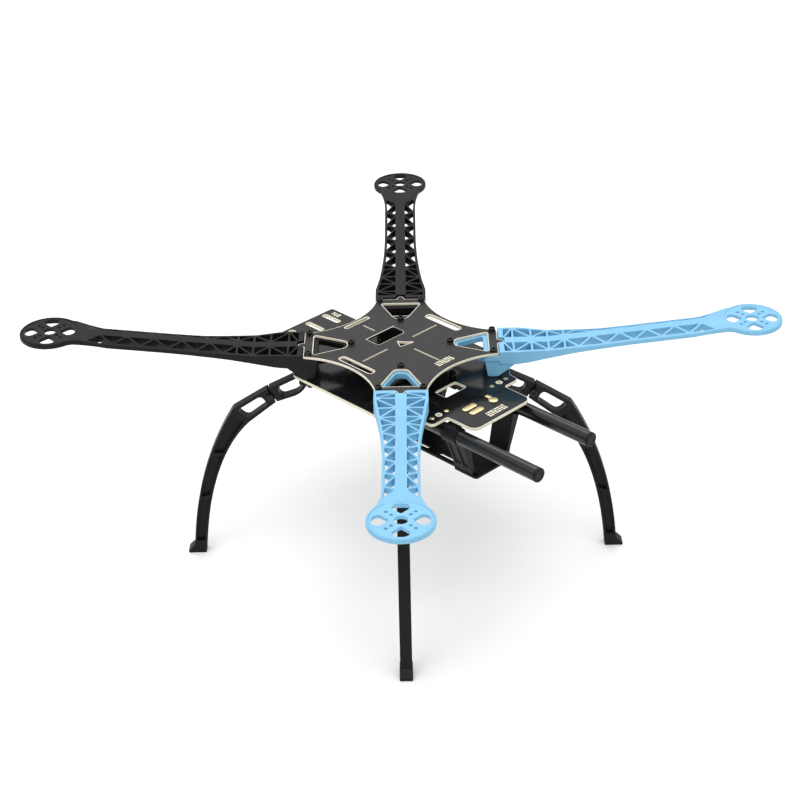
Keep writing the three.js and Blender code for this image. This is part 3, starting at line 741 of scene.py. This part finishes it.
def leg_bracket():
    screws = [circle(BLOCK_SCREW, s * BLOCK_SPREAD, SCREW_HOLE) for s in (-1, 1)]
    plate = sheet(oblong(63.5, 0, 14, 30, 3), screws, FOOT_TOP - FLANGE, FOOT_TOP, 0.4)
    rim = fillet([(58.5, FOOT_TOP), (70, FOOT_TOP), (92.6, 136), (87.2, 125.6, 1),
                  (70.5, 131.3, 5), (64, 140.5, 4), (62, FOOT_TOP - FLANGE, 1)])
    window = fillet([(70.6, 144.8), (86.8, 136.7), (83.6, 128.9), (71.9, 132.7), (66.6, 140.6)], 3.6)
    tongue = fillet([(88, 132), (92.4, 134.4), (95.5, 130.4), (92.8, 125.7), (88, 127.4)], 1)
    frame_part = upright(sheet(rim, [window], -LEG_HALF, LEG_HALF, 0.5))
    body = combined(frame_part, "UNION", plate, upright(sheet(tongue, [], -1.3, 1.3, 0.2)))
    return combined(body, "DIFFERENCE", bolt_hole())


def bezier(points, t):
    a, b, c = points
    return a * (1 - t) ** 2 + b * (2 * t * (1 - t)) + c * t * t


def leg_point(along, depth):
    """A point of the leg's side view: along runs from joint to foot, depth from outside to inside."""
    def on(top, bend):
        if along >= LEG_KINK:
            return bezier(bend, (along - LEG_KINK) / (1 - LEG_KINK))
        return top[0].lerp(top[1], along / LEG_KINK)
    return on(OUTER_TOP, OUTER_BEND).lerp(on(INNER_TOP, INNER_BEND), depth)


def leg_slice(start, stop, back, front, steps):
    spots = [start + (stop - start) * k / steps for k in range(steps + 1)]
    return [leg_point(a, back) for a in spots] + [leg_point(a, front) for a in reversed(spots)]


def softened(loop, radius, steps=3):
    return fillet([tuple(p) for p in loop], radius, steps)


def lower_leg():
    slot = softened(leg_slice(0.05, 0.212, 0.17, 0.83, 2), 3.4, 5)
    panels = [softened(leg_slice(start, stop, 0.19, 0.81, 14), 1.5, 3)
              for start, stop in ((0.245, 0.485), (0.5, 0.735), (0.75, 0.962))]
    web = upright(sheet(leg_slice(0.236, 0.97, 0.1, 0.9, 43), [], -1, 1, 0.1, 1))
    body = upright(sheet(leg_slice(0, 1, 0, 1, 60), [slot, *panels], -LEG_HALF, LEG_HALF, 0.5))
    toe = fillet([(145.2, 0), (158.2, 0, 0.8), (158.2, 1.8, 0.8), (154.4, 5.6, 1.5), (152, 7, 1), (145.2, 7)])
    foot = upright(sheet(toe, [], -LEG_HALF - 0.4, LEG_HALF + 0.4, 0.5))
    fork = fillet([(86, 137), (92.4, 137), (98, 130.4), (92.8, 122.5), (86, 122.5)], 1)
    body = combined(body, "UNION", web, foot)
    return combined(body, "DIFFERENCE", upright(sheet(fork, [], -1.6, 1.6, 0.1, 1)), bolt_hole())


# ---------------------------------------------------------------- rails, hangers, clips and tray
RAIL_Y, RAIL_Z, RAIL_RADIUS, RAIL_WALL = 28.0, 139.0, 5.0, 1.0
RING, CLIP_RING = 7.2, 6.1
BORE = RAIL_RADIUS + 0.25
ALONG_X = Matrix.Rotation(QUARTER, 4, "Y")


def rail(side_name):
    low, high = box_mm(f"{side_name}_rail")
    length = high.x - low.x
    wall = [(RAIL_RADIUS - RAIL_WALL, 0), (RAIL_RADIUS - 0.15, 0), (RAIL_RADIUS, 0.15)]
    wall += [(RAIL_RADIUS, length - 0.15), (RAIL_RADIUS - 0.15, length), (RAIL_RADIUS - RAIL_WALL, length)]
    bm = placed(lathe(wall, 64), Matrix.Translation((low.x, SIDES[side_name] * RAIL_Y, RAIL_Z)) @ ALONG_X)
    stand_for(f"{side_name}_rail", finished(bm, f"{side_name}_rail", [MATERIAL["rail_tube"]]))


def rail_plug(side_name, end):
    node = f"{side_name}_rail_plug_{end}"
    low, high = box_mm(node)
    bore = RAIL_RADIUS - RAIL_WALL - 0.3
    profile = [(0, 0.25), (3.3, 0.25), (3.55, 0), (4.3, 0), (4.8, 0.25), (RAIL_RADIUS, 0.7),
               (RAIL_RADIUS, 1.5), (bore, 1.5), (bore, 8.6), (bore - 0.4, 9), (0, 9)]
    bm = lathe(profile, 64)
    turn = ALONG_X if end == "rear" else Matrix.Rotation(-QUARTER, 4, "Y")
    face = low.x if end == "rear" else high.x
    bm = placed(bm, Matrix.Translation((face, SIDES[side_name] * RAIL_Y, RAIL_Z)) @ turn)
    stand_for(node, finished(bm, node, [MATERIAL["black_nylon"]]))


def collar_solid(x0, x1, side, radius=RING):
    """The collar round a rail, before its bore is cut."""
    long = x1 - x0
    profile = [(0, 0), (radius - 0.5, 0), (radius, 0.5), (radius, long - 0.5), (radius - 0.5, long),
               (0, long)]
    return placed(lathe(profile, 48), Matrix.Translation((x0, side * RAIL_Y, RAIL_Z)) @ ALONG_X)


def bore_tool(x0, x1, side):
    """Cuts a collar's bore and the bevels at both ends of it."""
    long, flare = x1 - x0, BORE + 1.3
    profile = [(0, -1), (flare, -1), (BORE, 0.35), (BORE, long - 0.35), (flare, long + 1), (0, long + 1)]
    return placed(lathe(profile, 48), Matrix.Translation((x0, side * RAIL_Y, RAIL_Z)) @ ALONG_X)


def rail_hanger(side_name, end):
    node = f"rail_hanger_{side_name}_{end}"
    low, high = box_mm(node)
    side = SIDES[side_name]
    top = FOOT_TOP
    inner = HANGER_SCREW_Y - 5
    yoke = fillet([(side * inner, top, 0.5), (side * inner, top - 5, 0.8), (side * (RAIL_Y - 8), top - 5, 2),
                   (side * (RAIL_Y - RING), RAIL_Z, 0.5), (side * (RAIL_Y + RING), RAIL_Z, 0.5),
                   (side * (RAIL_Y + RING), top, 1)])
    yoke = facing(sheet(yoke, [], 0, high.x - low.x, 0.4), low.x)
    body = combined(yoke, "UNION", collar_solid(low.x, high.x, side))
    hole = circle((low.x + high.x) / 2, side * HANGER_SCREW_Y, SCREW_HOLE, 24)
    hole = sheet(hole, [], top - 9, top + 1, 0.05, 1)
    body = combined(body, "DIFFERENCE", bore_tool(low.x, high.x, side), hole)
    stand_for(node, finished(body, node, [MATERIAL["black_nylon"]]))


def clip_cross(x0, x1, side):
    """The boss moulded on top of a tray clip's ring, with two crossed ribs on it."""
    middle = Vector(((x0 + x1) / 2, side * RAIL_Y))
    boss = oblong(middle.x, middle.y, x1 - x0 - 6, 6.4, 1.2)
    parts = [sheet(boss, [], RAIL_Z + BORE - 1.4, RAIL_Z + RING - 0.6, 0.4, 2)]
    for turn in (-20, 20):
        rib = turned(oblong(0, 0, x1 - x0 - 8, 1.2), turn)
        parts.append(sheet([point + middle for point in rib], [], RAIL_Z + BORE - 0.6, RAIL_Z + RING, 0.2, 2))
    return parts


def tray_clip(side_name, end):
    node = f"tray_clip_{side_name}_{end}"
    low, high = box_mm(node)
    side = SIDES[side_name]
    rest = low.z
    x0, x1, middle = low.x, high.x, (low.x + high.x) / 2
    outline = [(13.2, rest, 0.4), (18.4, rest, 0.4), (19.4, rest + 5, 1), (28, RAIL_Z - 5.5, 0.5),
               (21.5, RAIL_Z - 2.5, 0.5), (16, rest + 2.6, 1.5), (13.2, rest + 2.6, 0.6)]
    strut = [(side * y, z, radius) for y, z, radius in outline]
    web = facing(sheet(fillet(strut), [], 0, x1 - x0, 0.4), x0)
    hollow = [(18.6, rest + 5, 1), (25.8, RAIL_Z - 9.5, 1), (30, RAIL_Z - 9), (22, rest + 5)]
    hollow = fillet([(side * y, z, *radius) for y, z, *radius in hollow])
    pocket_long = (x1 - x0) / 2 - 3
    pockets = [facing(sheet(hollow, [], 0, pocket_long, 0.15, 1), start) for start in (x0 + 2, middle + 1)]
    collar = collar_solid(x0 + 2.1, x1 - 2.1, side, CLIP_RING)
    body = combined(web, "UNION", collar, *clip_cross(x0, x1, side))
    body = combined(body, "DIFFERENCE", *pockets, bore_tool(x0, x1, side))
    stand_for(node, finished(body, node, [MATERIAL["black_nylon"]]))


def battery_tray():
    low, high = box_mm("battery_tray")
    front, rear, tab, waist, tab_length = high.x, low.x, high.y, 16.5, 20
    half = [(front, tab, 3), (front - tab_length, tab, 1), (front - tab_length - 2, waist, 1),
            (rear + tab_length + 2, waist, 1), (rear + tab_length, tab, 1), (rear, tab, 3)]
    outline = fillet(half + [(x, -y, radius) for x, y, radius in reversed(half)])
    straps = [oblong(x, y, 16, 3, 1.4) for x in (30, 56) for y in (-12, 12)]
    tray = sheet(outline, straps, low.z, high.z, 0.35)
    stand_for("battery_tray", finished(tray, "battery_tray", [MATERIAL["black_nylon"]]))


# ---------------------------------------------------------------- fasteners
HEAD_RADIUS, HEAD_HEIGHT = 2.3, 2.6


def socket_head(radius, height, socket, depth):
    """A cap screw's head from its seat at z 0: chamfered rim and a hexagon socket."""
    bm = bmesh.new()
    count = 24

    def hexagon(size, z):
        points = []
        for k in range(count):
            corner, share = divmod(k, count // 6)
            a, b = (math.radians(60 * (corner + n)) for n in (0, 1))
            start, end = (Vector((math.cos(t), math.sin(t), 0)) * size for t in (a, b))
            point = start.lerp(end, share / (count // 6))
            points.append(bm.verts.new((point.x, point.y, z)))
        return points

    def round_ring(size, z):
        return [bm.verts.new((p.x, p.y, z)) for p in circle(0, 0, size, count)]

    rows = [round_ring(radius - 0.1, 0), round_ring(radius, 0.15), round_ring(radius, height - 0.3),
            round_ring(radius - 0.3, height), hexagon(socket + 0.15, height), hexagon(socket, height - 0.15),
            hexagon(socket, height - depth)]
    for low, high in zip(rows, rows[1:]):
        for i in range(count):
            bm.faces.new((low[i - 1], low[i], high[i], high[i - 1]))
    bm.faces.new(rows[0])
    bm.faces.new(rows[-1])
    bmesh.ops.recalc_face_normals(bm, faces=bm.faces)
    return bm


def cap_screw(shank):
    pin = lathe([(0, 0.3), (1.25, 0.3), (1.25, 0.3 - shank), (0.95, -shank), (0, -shank)], 24)
    screw = combined(socket_head(HEAD_RADIUS, HEAD_HEIGHT, 1.25, 1.5), "UNION", pin)
    return finished(screw, "cap_screw", [MATERIAL["black_steel"]])


def screw_at(node, mesh, head_up):
    low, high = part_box(node)
    middle = (low + high) / 2
    seat = high.z - HEAD_HEIGHT * MM if head_up else low.z + HEAD_HEIGHT * MM
    turn = Matrix.Identity(4) if head_up else Matrix.Rotation(math.pi, 4, "X")
    stand_for(node, mesh, Matrix.Translation((middle.x, middle.y, seat)) @ turn)


def leg_bolt():
    half = LEG_HALF + 0.3
    tip, collar = -half - 2, half + 0.5
    shank = lathe([(0, tip), (1.1, tip), (1.35, tip + 0.2), (1.35, collar), (0, collar)], 24)
    head = moved(socket_head(2.5, 2, 1.2, 1.2), 0, 0, half)
    nut = sheet(circle(0, 0, 2.7, 6), [], -half - 1.8, -half, 0.2, 2)
    body = combined(head, "UNION", shank, nut)
    return placed(body, Matrix.Translation((BOLT_AT[0], 0, BOLT_AT[1])) @ Matrix.Rotation(QUARTER, 4, "X"))


# ---------------------------------------------------------------- assembly
def build():
    top_plate()
    bottom_board()
    arms = arm()
    blue = finished(arms.copy(), "arm_blue", [MATERIAL["blue_nylon"]])
    black = finished(arms, "arm_black", [MATERIAL["black_nylon"]])
    bracket = finished(leg_bracket(), "leg_bracket", [MATERIAL["black_nylon"]])
    leg = finished(lower_leg(), "leg", [MATERIAL["black_nylon"]])
    bolt = finished(leg_bolt(), "leg_bolt", [MATERIAL["black_steel"]])
    plate_screw, block_screw, hanger_screw = cap_screw(6.5), cap_screw(11.3), cap_screw(6)
    for corner, degrees in CORNERS.items():
        turn = Matrix.Rotation(math.radians(degrees), 4, "Z")
        stand_for(f"arm_{corner}", blue if corner in BLUE_CORNERS else black, turn)
        stand_for(f"leg_bracket_{corner}", bracket, turn)
        stand_for(f"leg_{corner}", leg, turn)
        stand_for(f"leg_bolt_{corner}", bolt, turn)
        for place in ("inner", "outer_a", "outer_b"):
            screw_at(f"plate_screw_{corner}_{place}", plate_screw, True)
        for place in ("a", "b"):
            screw_at(f"leg_screw_{corner}_{place}", block_screw, False)
    for side in SIDES:
        rail(side)
        for end in ENDS:
            rail_plug(side, end)
            rail_hanger(side, end)
            tray_clip(side, end)
            screw_at(f"hanger_screw_{side}_{end}", hanger_screw, True)
    battery_tray()


# ---------------------------------------------------------------- stage, light and camera
def stage():
    floor = bmesh.new()
    bmesh.ops.create_grid(floor, x_segments=2, y_segments=2, size=40)
    mesh = bpy.data.meshes.new("floor")
    floor.to_mesh(mesh)
    floor.free()
    plain = Nodes("floor")
    plain.link(plain.mix(plain.noise(400, 2), (0.86, 0.86, 0.86), (0.88, 0.88, 0.88)),
               plain.shader.inputs["Base Color"])
    plain.set(Roughness=0.9, Specular_IOR_Level=0.1)
    mesh.materials.append(plain.material)
    ground = bpy.data.objects.new("floor", mesh)
    bpy.context.scene.collection.objects.link(ground)


def softbox(name, place, target, width, height, power):
    light = bpy.data.lights.new(name, "AREA")
    light.shape, light.size, light.size_y, light.energy = "RECTANGLE", width, height, power
    lamp = bpy.data.objects.new(name, light)
    lamp.location = place
    lamp.rotation_euler = (Vector(target) - Vector(place)).to_track_quat("-Z", "Y").to_euler()
    bpy.context.scene.collection.objects.link(lamp)


def lighting():
    scene = bpy.context.scene
    world = bpy.data.worlds.new("studio")
    world.use_nodes = True
    tree = world.node_tree
    height = tree.nodes.new("ShaderNodeSeparateXYZ")
    tree.links.new(tree.nodes.new("ShaderNodeTexCoord").outputs["Generated"], height.inputs["Vector"])
    strength = tree.nodes.new("ShaderNodeMapRange")
    for socket, number in (("From Min", 0.1), ("From Max", 1.0), ("To Min", 0.5), ("To Max", 1.35)):
        strength.inputs[socket].default_value = number
    tree.links.new(height.outputs["Z"], strength.inputs["Value"])
    sky = tree.nodes["Background"]
    sky.inputs["Color"].default_value = (1, 1, 1, 1)
    tree.links.new(strength.outputs["Result"], sky.inputs["Strength"])
    scene.world = world
    softbox("key", (0.3, -0.6, 1.9), (0, 0, 0.1), 1.6, 1.6, 17)
    softbox("back", (-1.0, 1.0, 1.9), (0, 0, 0.1), 2.4, 0.3, 10)
    scene.view_settings.view_transform = "Standard"


def camera():
    """Front right of the airframe, looking down at the motor pads' plane."""
    azimuth, elevation, roll = (math.radians(d) for d in (45.625, 30.057, -1.403))
    distance, across, up = 1.2899, -0.0002, -0.0520
    back = Vector((math.sin(azimuth) * math.cos(elevation), -math.cos(azimuth) * math.cos(elevation),
                   math.sin(elevation)))
    level = Vector((math.cos(azimuth), math.sin(azimuth), 0))
    above = back.cross(level)
    right = level * math.cos(roll) + above * math.sin(roll)
    top = above * math.cos(roll) - level * math.sin(roll)
    view = Matrix((right, top, back)).transposed().to_4x4()
    aim = Vector((0, 0, PAD_TOP * MM))
    view.translation = aim + back * distance + right * across + top * up
    lens = bpy.data.cameras.new("camera")
    lens.lens, lens.sensor_width = 84.98, 36
    eye = bpy.data.objects.new("camera", lens)
    eye.matrix_world = view
    bpy.context.scene.collection.objects.link(eye)
    bpy.context.scene.camera = eye


camera()
stage()
lighting()
build()
